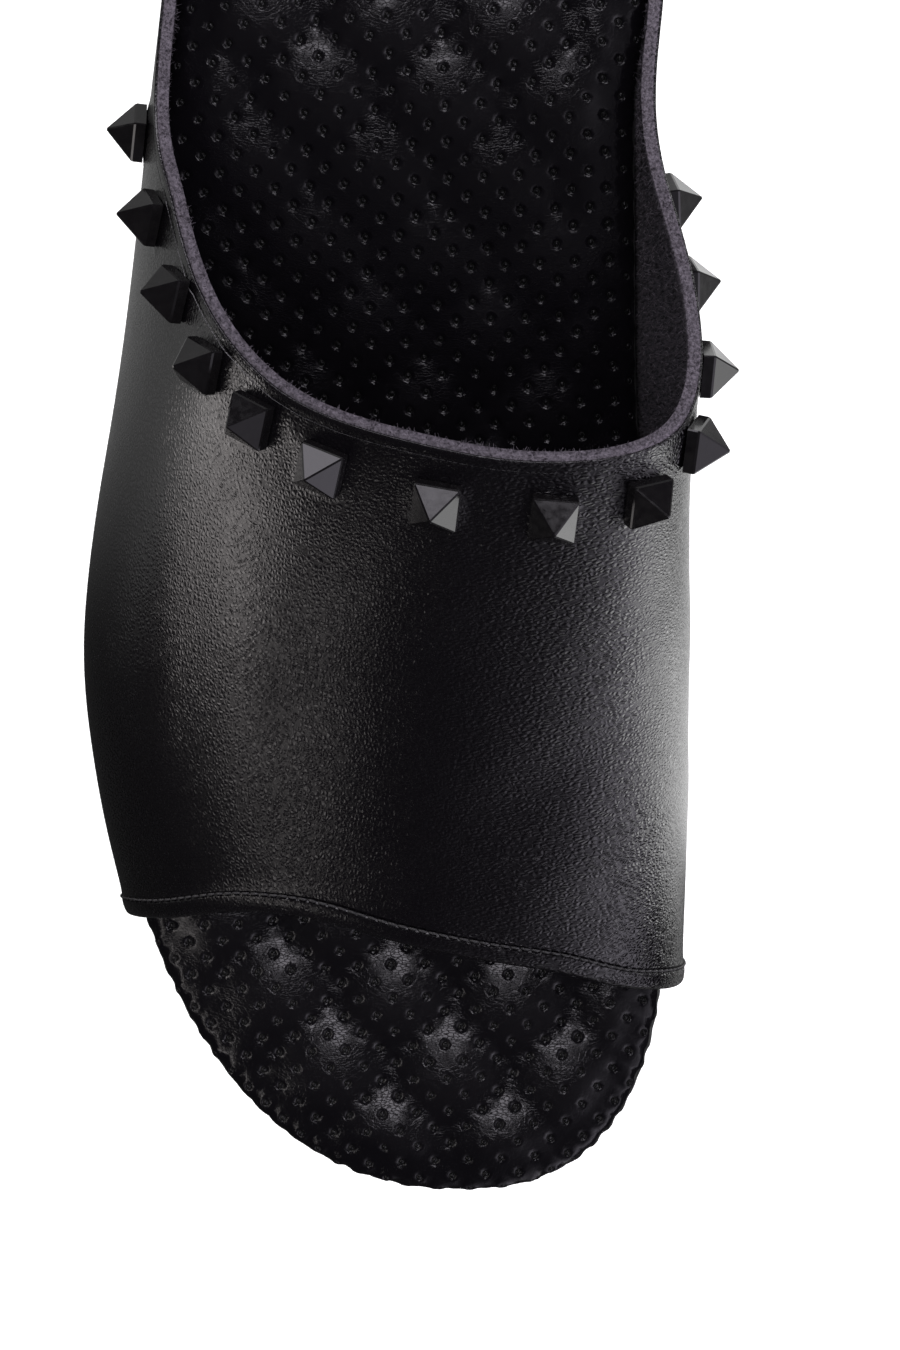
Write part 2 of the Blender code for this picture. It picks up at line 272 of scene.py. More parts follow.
upper_copy = copy_of("upper", "upper_copy")
edit(upper_copy, "EDGE")
bpy.ops.mesh.edges_select_sharp(sharpness=SHARP_RIM)
bpy.ops.mesh.edge_split(type="EDGE")
bpy.ops.mesh.separate(type="LOOSE")
leave()
upper_faces = sorted(bpy.context.selected_objects, key=face_area, reverse=True)
print("faces of the upper:", [len(piece.data.vertices) for piece in upper_faces])


# %% Number the points of each face
def steps_from(start, neighbours):
    """How many edges each vertex is away from the start set."""
    steps = {index: 0 for index in start}
    front = list(start)
    while front:
        reached = []
        for index in front:
            for other in neighbours[index]:
                if other not in steps:
                    steps[other] = steps[index] + 1
                    reached.append(other)
        front = reached
    return steps


def read_net(piece):
    """The points of one face as rows from hem to collar and columns from lateral to medial."""
    points = points_of(piece)
    neighbours = [[] for _ in points]
    uses = {}
    for edge in piece.data.edges:
        a, b = edge.vertices
        neighbours[a].append(b)
        neighbours[b].append(a)
        uses[(min(a, b), max(a, b))] = 0
    for face in piece.data.polygons:
        for a, b in face.edge_keys:
            uses[(min(a, b), max(a, b))] += 1
    rim = {index for pair, faces in uses.items() if faces == 1 for index in pair}
    s = from_toe(points)
    foot = footbed_top(s) - FOOTBED_THICK
    at_foot = {i for i in rim if abs(points[i, 2] / MM - foot[i]) < AT_FOOT}
    lateral = [i for i in at_foot if points[i, 0] < 0.0]
    medial = [i for i in at_foot if points[i, 0] > 0.0]
    hem = [i for i in rim - at_foot if s[i] < HEM_BEFORE]
    hem += [min(side, key=lambda i: s[i]) for side in (lateral, medial)]
    rows, columns = steps_from(hem, neighbours), steps_from(lateral, neighbours)
    net = np.zeros((ALONG + 1, AROUND + 1, 3))
    for index, point in enumerate(points):
        net[rows[index], columns[index]] = point
    return net


outer_net, inner_net = (read_net(piece) for piece in upper_faces[:2])
for piece in upper_faces:
    bpy.data.objects.remove(piece)
wall = np.linalg.norm(outer_net - inner_net, axis=-1) / MM
print("wall from", round(wall.min(), 2), "to", round(wall.max(), 2), "mm")

# %% [markdown]
# ## Vamp leather
# The leather is a thin skin, about 0.6 mm, stretched over the felt. At the toe it is turned under and sewn
# down, so its edge there is a soft roll; at the collar it is simply cut. A flat grid has just the right
# faces for it: the grid is laid over the points of the net, with three extra rows for the turned-under
# hem, then smoothed by subdivision. A thick box could be carved instead, but a sheet that gets its
# thickness last stays even, as leather does.

# %% Lay a grid over the net
SKIN = 0.6                 # leather
HEM_RETURN = 6.5           # width of the turned-under part
HEM_ROLL = 0.55            # the roll stands out to the toe by this
HEM_BEHIND = 0.65          # the turned-under part lies inside the felt
HEM_BEHIND_ABOVE = 9.0     # fully so from this height above the sole
HEM_UNDER = 0.15           # the roll's lower line, towards the toe
LEATHER_BEVEL = 0.14


def unit(vectors):
    return vectors / np.linalg.norm(vectors, axis=-1, keepdims=True)


def laid_grid(name, net):
    """A grid primitive with one vertex for each point of the net."""
    rows, columns = net.shape[0] - 1, net.shape[1] - 1
    piece = fresh(bpy.ops.mesh.primitive_grid_add, name, x_subdivisions=columns, y_subdivisions=rows,
                  size=1.0)
    flat = points_of(piece)
    column = np.rint((flat[:, 0] + 0.5) * columns).astype(int)
    row = np.rint((flat[:, 1] + 0.5) * rows).astype(int)
    move_points(piece, net[row, column])
    return piece


through = unit(outer_net - inner_net)                    # out through the wall
inward = unit(outer_net[4] - outer_net[0])               # from the hem up the vamp
above_foot = outer_net[0, :, 2] / MM - (footbed_top(from_toe(outer_net[0])) - FOOTBED_THICK)
behind = (HEM_BEHIND * ease(above_foot / HEM_BEHIND_ABOVE))[:, None] * MM
roll_front = (outer_net[0] + inner_net[0]) / 2.0 - inward * HEM_ROLL * MM
roll_under = inner_net[0] - through[0] * behind - inward * HEM_UNDER * MM
return_end = inner_net[0] - through[0] * behind + inward * HEM_RETURN * MM
leather_net = np.concatenate([[return_end, roll_under, roll_front], outer_net])
vamp_leather = laid_grid("vamp_leather", leather_net)
smooth(vamp_leather, 2)
print(count(vamp_leather))


# %% [markdown]
# The vamp has been worn in a little. Where the foot bends it, the leather shows a few long, soft troughs and
# ridges, and by the collar some short ones between the studs. They are placed one by one, each as a line in
# plan with its width and depth, and pushed into the skin while it is still a single sheet.

# %% Soft creases
Crease = namedtuple("Crease", "x0 y0 x1 y1 width depth")
CREASES = (                # ends in plan, mm; positive depth is a trough
    Crease(-34.0, -58.0, -27.0, -12.0, 5.0, 0.30),
    Crease(-25.0, -66.0, -19.0, -25.0, 5.5, -0.25),
    Crease(12.0, -62.0, 42.0, -38.0, 5.0, 0.28),
    Crease(18.0, -74.0, 46.0, -55.0, 4.5, -0.25),
    Crease(26.0, -40.0, 44.0, -22.0, 4.0, 0.22),
    Crease(-12.0, -46.0, 20.0, -50.0, 6.0, -0.20),
    Crease(-24.0, 6.0, -17.0, -3.0, 2.4, 0.28),
    Crease(-19.0, 4.0, -11.0, -4.0, 2.2, -0.22),
    Crease(8.0, -9.0, 14.0, -20.0, 3.0, 0.18),
    Crease(34.0, -1.0, 37.0, -14.0, 2.6, 0.20),
)
END_FADE, END_FADE_RATE = 1.25, 1.6  # a crease runs out towards its ends
INSIDE_VAMP = np.array([0.005, -0.03, 0.03])


def crease_depth(points):
    """How far the creases push the skin in, in millimetres."""
    plan = points[:, :2] / MM
    depth = np.zeros(len(plan))
    for crease in CREASES:
        start, end = np.array(crease[:2]), np.array(crease[2:4])
        run = end - start
        t = (plan - start) @ run / (run @ run)
        beside = np.linalg.norm(plan - start - np.clip(t, 0.0, 1.0)[:, None] * run, axis=1)
        fade = ease(END_FADE - np.abs(t - 0.5) * END_FADE_RATE)
        depth += crease.depth * np.exp(-((beside / crease.width) ** 2)) * fade
    return depth


def normals_of(piece):
    flat = np.empty(len(piece.data.vertices) * 3)
    piece.data.vertex_normals.foreach_get("vector", flat)
    return flat.reshape(-1, 3)


def face_outwards(piece):
    """Turn the faces of the vamp's sheet away from the foot."""
    points, normals = points_of(piece), normals_of(piece)
    if ((points - INSIDE_VAMP) * normals).sum() < 0.0:
        edit(piece, "FACE")
        bpy.ops.mesh.select_all(action="SELECT")
        bpy.ops.mesh.flip_normals()
        leave()


face_outwards(vamp_leather)
skin = points_of(vamp_leather)
skin = skin - normals_of(vamp_leather) * (crease_depth(skin) * MM)[:, None]
move_points(vamp_leather, skin)
print("creases from", round(crease_depth(skin).min(), 2), "to", round(crease_depth(skin).max(), 2), "mm")

# %% [markdown]
# The studs are clenched through the leather, which is drawn up to them. The skin below each stud is lifted
# to the stud's flat underside, so no light shows between the two. Only what the stud covers moves much.

# %% Seats for the studs
SEAT_OVERLAP = 0.05        # the leather reaches this far into the stud
SEAT_DEPTH = 2.0           # skin farther below a stud than this is another part of the vamp
SEAT_OUTSIDE, SEAT_FADE = 0.8, 1.8   # the lift fades out round the stud
ON_PLANE = 0.02


def lifted_to(stud, points):
    """Points of the skin, lifted to the flat underside of one stud."""
    solid = points_of(stud)
    underside = max(stud.data.polygons, key=lambda face: face.area)
    down = np.array(underside.normal)
    base = solid[np.abs((solid - np.array(underside.center)) @ down) < ON_PLANE * MM]
    middle = base.mean(axis=0)
    corner = max(base - middle, key=np.linalg.norm)
    reach = np.linalg.norm(corner)
    beside = np.cross(down, corner / reach)
    apart = points - middle
    short = apart @ down
    from_middle = np.abs(apart @ corner / reach) + np.abs(apart @ beside)
    share = ease((reach + SEAT_OUTSIDE * MM - from_middle) / (SEAT_FADE * MM))
    share = share * ((short > 0.0) & (short < SEAT_DEPTH * MM))
    return points - down * ((short + SEAT_OVERLAP * MM) * share)[:, None]


studs = [item for name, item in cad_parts.items() if name.startswith("stud")]
flat_skin = skin
for stud in studs:
    skin = lifted_to(stud, skin)
move_points(vamp_leather, skin)
print("leather lifted by up to", round(np.linalg.norm(skin - flat_skin, axis=1).max() / MM, 2), "mm")


# %% [markdown]
# The seams follow the edges: a stitch line runs 3 mm above the toe hem and a pressed line just below the cut
# collar. Each vertex therefore keeps its distance from the two edges, and the leather's finish reads it.
# Then the sheet gets its thickness, and a small bevel softens its cut edges.

# %% Distances from hem and collar
BEVEL_FROM = math.radians(60.0)


def finer(line, step=0.2 * MM):
    """A line with its points close together."""
    along = np.concatenate([[0.0], np.cumsum(np.linalg.norm(np.diff(line, axis=0), axis=1))])
    at = np.arange(0.0, along[-1], step)
    return np.stack([np.interp(at, along, line[:, k]) for k in range(3)], axis=1)


def distance_to(points, line):
    """Distance of points from a line, in millimetres."""
    tree = KDTree(len(line))
    for index, point in enumerate(line):
        tree.insert(point, index)
    tree.balance()
    return np.array([tree.find(point)[2] for point in points]) / MM


def thicken(piece, thickness, offset, bevel):
    """Give a sheet its thickness, soften its cut edges and shade it smooth."""
    apply(piece, "SOLIDIFY", thickness=thickness * MM, offset=offset, use_even_offset=True)
    apply(piece, "BEVEL", width=bevel * MM, segments=2, limit_method="ANGLE", angle_limit=BEVEL_FROM)
    only(piece)
    bpy.ops.object.shade_smooth()
    print(count(piece))


hem_line, collar_line = finer(outer_net[0]), finer(outer_net[-1])
keep_value(vamp_leather, "from_hem", distance_to(skin, hem_line))
keep_value(vamp_leather, "from_collar", distance_to(skin, collar_line))
skin_tree = BVHTree.FromPolygons([Vector(p) for p in skin],
                                 [tuple(face.vertices) for face in vamp_leather.data.polygons])
thicken(vamp_leather, SKIN, -1.0, LEATHER_BEVEL)

# %% [markdown]
# ## Felt lining
# Under the leather is a grey felt nearly 2 mm thick. It shows as the fuzzy cut edge all round the collar and
# as the inside of the throat. It is the same kind of sheet, laid on the inner face of the solid and thickened
# outwards. Its cut edge stands a little proud of the leather, as a bevelled cut does.

# %% Felt
FELT = 1.8
FELT_PROUD = 0.75
FELT_BEVEL = 0.35

felt_net = inner_net[2:].copy()
felt_net[-1] += unit(inner_net[-1] - inner_net[-2]) * FELT_PROUD * MM
vamp_lining = laid_grid("vamp_lining", felt_net)
smooth(vamp_lining, 2)
face_outwards(vamp_lining)
keep_value(vamp_lining, "from_collar", distance_to(points_of(vamp_lining), finer(felt_net[-1])))
thicken(vamp_lining, FELT, 1.0, FELT_BEVEL)

# %% [markdown]
# Loose fibres stand off a cut felt edge and off the napped inside. One fibre is modelled, a thin bent cone,
# and copied over both: out of the cut edge, and off the wall inside the throat. A particle system could
# scatter them too, but copies with their own mesh are easier to control and export as they are.

# %% One fibre
FIBRE_LENGTH, FIBRE_RADIUS = 1.0, 0.07
FIBRE_TIP, FIBRE_BEND = 0.3, 0.22    # share of the radius at the tip, and how far the tip leans
LONG_EDGE = 0.5

fibre = fresh(bpy.ops.mesh.primitive_cone_add, "fibre", vertices=3, radius1=FIBRE_RADIUS * MM,
              radius2=FIBRE_TIP * FIBRE_RADIUS * MM, depth=FIBRE_LENGTH * MM,
              location=(0.0, 0.0, FIBRE_LENGTH / 2.0 * MM))
form = edit(fibre, "EDGE")
mark(fibre, form.edges, lambda e: abs(e.verts[0].co.z - e.verts[1].co.z) > LONG_EDGE * MM)
bpy.ops.mesh.subdivide(number_cuts=1)
leave()
bent = points_of(fibre)
bent[:, 0] += FIBRE_BEND * MM * (bent[:, 2] / (FIBRE_LENGTH * MM)) ** 2
move_points(fibre, bent)
print(count(fibre))


# %% Copy and scatter
EDGE_FIBRES, WALL_FIBRES = 1100, 1800
FULL_TURN = 6.28
chance = random.Random(7)


def scattered(model, places, name):
    """Copies of a model, each with its own mesh at one of the places, joined into one piece."""
    copies = []
    for spot in places:
        one = model.copy()
        one.data = model.data.copy()
        bpy.context.collection.objects.link(one)
        one.data.transform(spot)
        copies.append(one)
    bpy.ops.object.select_all(action="DESELECT")
    for one in copies:
        one.select_set(True)
    bpy.context.view_layer.objects.active = copies[0]
    bpy.ops.object.join()
    piece = bpy.context.object
    piece.name = piece.data.name = name
    return piece


def planted(spots, name):
    """The fibre copied to each (root, direction, length), with a chance turn about itself."""
    places = []
    for root, way, length in spots:
        spin = Quaternion((0.0, 0.0, 1.0), chance.uniform(0.0, FULL_TURN))
        turn = (Vector(way).to_track_quat("Z", "Y") @ spin).to_matrix().to_4x4()
        places.append(Matrix.Translation(Vector(root)) @ turn @ Matrix.Scale(length, 4, (0.0, 0.0, 1.0)))
    piece = scattered(fibre, places, name)
    bpy.ops.object.shade_smooth()
    return piece


def net_point(net, row, column):
    """A point between the points of a net."""
    i, j = min(int(row), net.shape[0] - 2), min(int(column), net.shape[1] - 2)
    u, v = row - i, column - j
    return ((net[i, j] * (1 - v) + net[i, j + 1] * v) * (1 - u)
            + (net[i + 1, j] * (1 - v) + net[i + 1, j + 1] * v) * u)


rows, columns = felt_net.shape[0] - 1, felt_net.shape[1] - 1
felt_through = through[2:]

# %% Fibres on the cut edge
EDGE_MARGIN = (0.05, 0.1)  # kept free at the inner and outer corner of the edge
EDGE_ROOT = 0.15           # depth of a root in the felt
EDGE_SPREAD, EDGE_FAN, EDGE_LEAN = 0.5, 0.8, 0.7
EDGE_LENGTHS = (0.45, 1.0)

edge_spots = []
for _ in range(EDGE_FIBRES):
    column = chance.uniform(0.0, columns)
    edge = net_point(felt_net, rows, column)
    out = edge - net_point(felt_net, rows - 1, column)
    across = net_point(felt_through, rows, column)
    ahead = net_point(felt_net, rows, min(column + 0.5, columns))
    along = ahead - net_point(felt_net, rows, max(column - 0.5, 0.0))
    deep = chance.uniform(EDGE_MARGIN[0], FELT - EDGE_MARGIN[1])
    root = edge + across * deep * MM - unit(out) * EDGE_ROOT * MM
    way = (unit(out) + across * (chance.gauss(0.0, EDGE_SPREAD) + (deep / FELT - 0.5) * EDGE_FAN)
           + unit(along) * chance.gauss(0.0, EDGE_LEAN))
    edge_spots.append((root, way, chance.uniform(*EDGE_LENGTHS)))
collar_fuzz = planted(edge_spots, "collar_fuzz")
keep_value(collar_fuzz, "from_collar", np.zeros(len(collar_fuzz.data.vertices)))
print(count(collar_fuzz))

# %% Fibres on the wall
WALL_ROWS = 4.0            # most stand within this many rows of the collar
ROOF = (6.0, 32.0)         # columns over the foot, whose inside is out of sight
RIDGE_COLUMN = 20.0        # down is the other way on either side of it
WALL_ROOT, WALL_SHADE = 0.1, 0.6
WALL_DOWN, WALL_OUT, WALL_BACK = 0.8, (0.25, 0.8), 0.6
WALL_LENGTHS = (0.5, 1.2)

wall_spots = []
while len(wall_spots) < WALL_FIBRES:
    column, row = chance.uniform(0.0, columns), rows - abs(chance.gauss(0.0, WALL_ROWS))
    if row < 1.0 or ROOF[0] < column < ROOF[1]:
        continue
    spot = net_point(felt_net, row, column)
    down = net_point(felt_net, row, column + (0.5 if column > RIDGE_COLUMN else -0.5)) - spot
    across = net_point(felt_through, row, column)
    back = net_point(felt_net, min(row + 0.5, rows), column) - net_point(felt_net, row - 0.5, column)
    way = (unit(down) * chance.gauss(0.0, WALL_DOWN) - across * chance.uniform(*WALL_OUT)
           + unit(back) * chance.gauss(0.0, WALL_BACK))
    wall_spots.append((spot + across * WALL_ROOT * MM, way, chance.uniform(*WALL_LENGTHS)))
lining_nap = planted(wall_spots, "lining_nap")
keep_value(lining_nap, "from_collar", np.full(len(lining_nap.data.vertices), WALL_SHADE))
bpy.data.objects.remove(fibre)
print(count(lining_nap))

# %% [markdown]
# ## Hem stitches
# The toe hem is sewn down with black thread in short, tight stitches. One stitch is modelled: a thin rod
# whose middle stands up and whose ends dive into the leather. It is then copied along the seam, each copy
# turned to the seam and to the skin. One long cord would lose the little gaps between stitches.

# %% One stitch
STITCH_PITCH, STITCH_LENGTH, STITCH_RADIUS = 1.65, 1.42, 0.21
STITCH_DIVE, STITCH_LIFT, STITCH_TAPER = 0.26, 0.75, 0.45

stitch = fresh(bpy.ops.mesh.primitive_cylinder_add, "stitch", vertices=8, radius=STITCH_RADIUS * MM,
               depth=STITCH_LENGTH * MM, rotation=(0.0, math.pi / 2.0, 0.0))
form = edit(stitch, "EDGE")
mark(stitch, form.edges, lambda e: abs(e.verts[0].co.x - e.verts[1].co.x) > LONG_EDGE * MM)
bpy.ops.mesh.subdivide(number_cuts=3)
leave()
rod = points_of(stitch)
share = np.abs(rod[:, 0]) / (STITCH_LENGTH / 2.0 * MM)
rod[:, 1:] *= (1.0 - STITCH_TAPER * share ** 3)[:, None]
rod[:, 2] += (STITCH_RADIUS * STITCH_LIFT - STITCH_DIVE * share ** 2.5) * MM
move_points(stitch, rod)
print(count(stitch))

# %% Sew along the hem
SEAM_STEP = 0.1            # between the points of the seam
SEAM_ENDS, SEAM_LOOK = 8, 5  # points left free at each end, and points looked along for the direction
SEAM_SHARE = 0.55          # where it runs between two rows of the net
STITCH_SHARP = math.radians(50.0)

seam = finer(outer_net[2] * (1.0 - SEAM_SHARE) + outer_net[3] * SEAM_SHARE, SEAM_STEP * MM)
sewn = []
for at in np.arange(SEAM_ENDS, len(seam) - SEAM_ENDS, round(STITCH_PITCH / SEAM_STEP)):
    spot, normal, _, _ = skin_tree.find_nearest(Vector(seam[at]))
    run = Vector(seam[min(at + SEAM_LOOK, len(seam) - 1)] - seam[max(at - SEAM_LOOK, 0)])
    run = (run - normal * run.dot(normal)).normalized()
    turn = Matrix((run, normal.cross(run), normal)).transposed().to_4x4()
    sewn.append(Matrix.Translation(spot) @ turn)
hem_stitches = scattered(stitch, sewn, "hem_stitches")
bpy.data.objects.remove(stitch)
only(hem_stitches)
bpy.ops.object.shade_smooth_by_angle(angle=STITCH_SHARP)
print(len(sewn), "stitches;", count(hem_stitches))

# %% [markdown]
# ## Footbed leather
# The footbed is a board wrapped in smooth black leather, with soft massage bumps and a fine lattice of
# pricked holes that carries on round the wrapped edge. The leather is made as it is in the workshop: a flat
# sheet is pricked first, then laid on the board, over the bumps and round the edge, and tucked under. The
# flat sheet is a grid whose squares are the pitch of the holes. Insets sink one small hole in each.

# %% The outline as a line to wrap round
RIM_POINTS = 320           # on each side
AT_ONCE = 1000             # points worked on together

rim_run = LENGTH * 0.5 * (1.0 - np.cos(np.linspace(0.0, math.pi, RIM_POINTS)))
rim_lateral = np.stack([footbed_edge("lateral", rim_run), rim_run], axis=-1)
rim_medial = np.stack([footbed_edge("medial", rim_run), rim_run], axis=-1)
rim_loop = np.concatenate([rim_lateral[:-1], rim_medial[:0:-1]])
rim_next = np.roll(rim_loop, -1, axis=0)
rim_way = unit(rim_next - np.roll(rim_loop, 1, axis=0))
rim_inward = np.stack([rim_way[:, 1], -rim_way[:, 0]], axis=-1)


def nearest_rim(plan):
    """Nearest outline point, the way in from there, and the distance inside, for points in plan."""
    run = rim_next - rim_loop
    size = np.maximum((run ** 2).sum(axis=-1), 1e-12)
    spots, ways = np.empty_like(plan), np.empty_like(plan)
    for first in range(0, len(plan), AT_ONCE):
        part = plan[first:first + AT_ONCE]
        t = np.clip(((part[:, None] - rim_loop) * run).sum(axis=-1) / size, 0.0, 1.0)
        near = rim_loop + t[..., None] * run
        best = np.argmin(((part[:, None] - near) ** 2).sum(axis=-1), axis=1)
        row = np.arange(len(part))
        share = t[row, best][:, None]
        spots[first:first + AT_ONCE] = near[row, best]
        way = rim_inward[best] * (1.0 - share) + np.roll(rim_inward, -1, axis=0)[best] * share
        ways[first:first + AT_ONCE] = unit(way)
    inside = np.linalg.norm(plan - spots, axis=1)
    inside *= np.where(((plan - spots) * ways).sum(axis=1) < 0.0, -1.0, 1.0)
    return spots, ways, inside


print("outline of", len(rim_loop), "points")

# %% Prick the flat sheet
PRICK_PITCH = 3.85
PRICK_TURN = math.radians(45.0 + 3.1)
PRICK_AT = (0.0, 60.0)     # one hole, across and from the toe
PRICK_CELLS = 74
UNDER_RADIUS, TUCK = 0.8, 3.0
QUARTER = RIM_RADIUS * math.pi / 2.0
SIDE_END = QUARTER + FOOTBED_THICK - RIM_RADIUS - UNDER_RADIUS
UNDER_START = SIDE_END + UNDER_RADIUS * math.pi / 2.0
SHEET_EDGE = RIM_RADIUS - UNDER_START - TUCK

footbed_leather = fresh(bpy.ops.mesh.primitive_grid_add, "footbed_leather", x_subdivisions=PRICK_CELLS,
                        y_subdivisions=PRICK_CELLS, size=PRICK_CELLS * PRICK_PITCH,
                        rotation=(0.0, 0.0, PRICK_TURN))
half = PRICK_PITCH / 2.0
turned = Matrix.Rotation(PRICK_TURN, 2)
corner = turned @ Vector((half, half))
cells_back = round((PRICK_AT[1] - LENGTH / 2.0) / (PRICK_PITCH * math.sqrt(2.0)))
middle = np.array(PRICK_AT) + np.array(turned @ Vector((1, 1))) * PRICK_PITCH * -cells_back
sheet = points_of(footbed_leather)
sheet[:, :2] += middle + np.array(corner)
move_points(footbed_leather, sheet)
form = edit(footbed_leather, "FACE")
centres = np.array([face.calc_center_median()[:2] for face in form.faces])
_, _, inside = nearest_rim(centres)
mark(footbed_leather, form.faces, lambda face: inside[face.index] < SHEET_EDGE)
bpy.ops.mesh.delete(type="FACE")
leave()
print("squares left:", len(footbed_leather.data.polygons))

# %% Sink the holes
HOLE_INSET = 1.20          # leaves the ring's outer edge
RING_WALL, RING_DEPTH = 0.22, 0.36
FLOOR_WALL, FLOOR_RISE = 0.18, 0.20
HOLE_CREASE = 0.7
LAST_HOLE = 1.5            # the lowest holes stay this far above the bottom edge

sheet = points_of(footbed_leather)
spots, ways, inside = nearest_rim(sheet[:, :2])
over = inside < SHEET_EDGE
sheet[over, :2] = spots[over] + ways[over] * SHEET_EDGE
move_points(footbed_leather, sheet)
form = edit(footbed_leather, "FACE")
centres = np.array([face.calc_center_median()[:2] for face in form.faces])
_, _, inside = nearest_rim(centres)
mark(footbed_leather, form.faces, lambda face: inside[face.index] > RIM_RADIUS - SIDE_END + LAST_HOLE)
bpy.ops.mesh.inset(thickness=HOLE_INSET, use_individual=True)
bpy.ops.transform.edge_crease(value=HOLE_CREASE)
bpy.ops.mesh.inset(thickness=RING_WALL, depth=-RING_DEPTH, use_individual=True)
bpy.ops.mesh.inset(thickness=FLOOR_WALL, depth=FLOOR_RISE, use_individual=True)
leave()
print("faces after pricking:", len(footbed_leather.data.polygons))

# %% [markdown]
# Now the pricked sheet is laid on the board. Each point knows how far it is inside the outline. Far inside,
# it just rises to the top of the board and over the bumps. Near the outline it follows the rounded edge, then
# the side, then the tuck below, as wrapped leather does.

# %% Lay the sheet on the board
BUMP_ACROSS, BUMP_ALONG = 19.4, 11.9
BUMP_START_ACROSS, BUMP_START = -0.3, 20.0
BUMP_TURN = math.radians(3.1)
BUMP_RADIUS, BUMP_HEIGHT = 10.5, 1.45
BUMP_BLEND = 9.0           # how sharply neighbouring bumps meet
BUMP_EDGE, BUMP_EDGE_EASE = 3.0, 5.0  # none at the rim
PRESSED_FROM, PRESSED_TO, PRESSED_EASE, PRESSED = 72.0, 192.0, 34.0, 0.5


def bump_height(across, s):
    """Massage bumps: two interleaved lattices of soft domes."""
    dx, ds = across - BUMP_START_ACROSS, s - BUMP_START
    a = (dx * math.cos(BUMP_TURN) - ds * math.sin(BUMP_TURN)) / BUMP_ACROSS
    b = (dx * math.sin(BUMP_TURN) + ds * math.cos(BUMP_TURN)) / (2.0 * BUMP_ALONG)
    total = np.ones_like(a)
    for shift in (0.0, 0.5):
        da = (a - shift - np.round(a - shift)) * BUMP_ACROSS
        db = (b - shift - np.round(b - shift)) * 2.0 * BUMP_ALONG
        away = np.clip(np.hypot(da, db) / BUMP_RADIUS, 0.0, 1.0)
        total += np.exp(BUMP_BLEND * BUMP_HEIGHT * (1.0 - away ** 2))
    under_ball = ease((s - PRESSED_FROM) / PRESSED_EASE) * ease((PRESSED_TO - s) / PRESSED_EASE)
    return (np.log(total) - math.log(3.0)) / BUMP_BLEND * (1.0 - PRESSED * under_ball)


def lay_on_board(flat):
    """Wrapped places, in metres, of a flat sheet's points, and the share of a bump under each."""
    spots, ways, inside = nearest_rim(flat[:, :2])
    out = RIM_RADIUS - inside
    round_top = np.clip(out / RIM_RADIUS, 0.0, math.pi / 2.0)
    round_under = np.clip((out - SIDE_END) / UNDER_RADIUS, 0.0, math.pi / 2.0)
    tilt = round_top + round_under
    inset = (RIM_RADIUS * (1.0 - np.sin(round_top)) + UNDER_RADIUS * (1.0 - np.cos(round_under))
             + np.clip(out - UNDER_START, 0.0, None) + np.clip(-out, 0.0, None))
    drop = (RIM_RADIUS * (1.0 - np.cos(round_top)) + np.clip(out - QUARTER, 0.0, SIDE_END - QUARTER)
            + UNDER_RADIUS * np.sin(round_under))
    plan = spots + ways * inset[:, None]
    bump = bump_height(plan[:, 0], plan[:, 1]) * ease((inside - BUMP_EDGE) / BUMP_EDGE_EASE)
    z = footbed_top(np.clip(plan[:, 1], 0.0, LENGTH)) - drop + bump
    plan = plan - ways * (np.sin(tilt) * flat[:, 2])[:, None]
    z = z + np.cos(tilt) * flat[:, 2]
    return place(plan[:, 0], plan[:, 1], z), bump / BUMP_HEIGHT


laid, bump_share = lay_on_board(points_of(footbed_leather))
sunk = np.clip(-points_of(footbed_leather)[:, 2] / RING_DEPTH, 0.0, 1.0)
move_points(footbed_leather, laid)
keep_value(footbed_leather, "bump", bump_share)
keep_value(footbed_leather, "hole", sunk)
form = edit(footbed_leather, "EDGE")
mark(footbed_leather, form.edges, lambda e: e.is_boundary)
bpy.ops.mesh.fill()
leave()
smooth(footbed_leather, 1)
only(footbed_leather)
bpy.ops.object.shade_smooth()
print(count(footbed_leather))

# %% [markdown]
# ## Sole
# The sole is a moulded black wedge, thin under the ball and thick under the heel. The copy of its solid
# already has the right form. A small bevel softens its moulded edges first, while the mesh is still simple.
# Its underside then gets plain cross grooves for grip: pairs of bisecting cuts mark each groove, and an inset
# with depth sinks it.

# %% Wedge with cross grooves
GROOVE_WIDTH, GROOVE_DEPTH, GROOVE_PITCH = 2.2, 1.0, 8.0
GROOVES = [*np.arange(-80.0, -18.0, GROOVE_PITCH), *np.arange(58.0, 112.0, GROOVE_PITCH)]
GROOVE_SLOPE = 0.35
UNDERSIDE = -0.7           # faces whose normals point down more steeply than this
QUAD_FACES, QUAD_SHAPES = math.radians(40.0), math.radians(120.0)
SOLE_BEVEL, SOLE_BEVEL_FROM, SOLE_SHARP = 0.5, math.radians(50.0), math.radians(35.0)

wedge_sole = copy_of("outsole", "wedge_sole")
edit(wedge_sole, "FACE")
bpy.ops.mesh.select_all(action="SELECT")
bpy.ops.mesh.tris_convert_to_quads(face_threshold=QUAD_FACES, shape_threshold=QUAD_SHAPES)
leave()
apply(wedge_sole, "BEVEL", width=SOLE_BEVEL * MM, segments=2, limit_method="ANGLE",
      angle_limit=SOLE_BEVEL_FROM, use_clamp_overlap=False)
for groove in GROOVES:
    for cut in (groove - GROOVE_WIDTH / 2.0, groove + GROOVE_WIDTH / 2.0):
        form = edit(wedge_sole, "FACE")
        mark(wedge_sole, form.faces, lambda face: face.normal.z < UNDERSIDE)
        bpy.ops.mesh.bisect(plane_co=(0.0, cut * MM, 0.0), plane_no=(0.0, 1.0, 0.0))
        leave()
form = edit(wedge_sole, "FACE")


def in_groove(face):
    y = face.calc_center_median().y / MM
    return face.normal.z < UNDERSIDE and any(abs(y - groove) < GROOVE_WIDTH / 2.0 for groove in GROOVES)


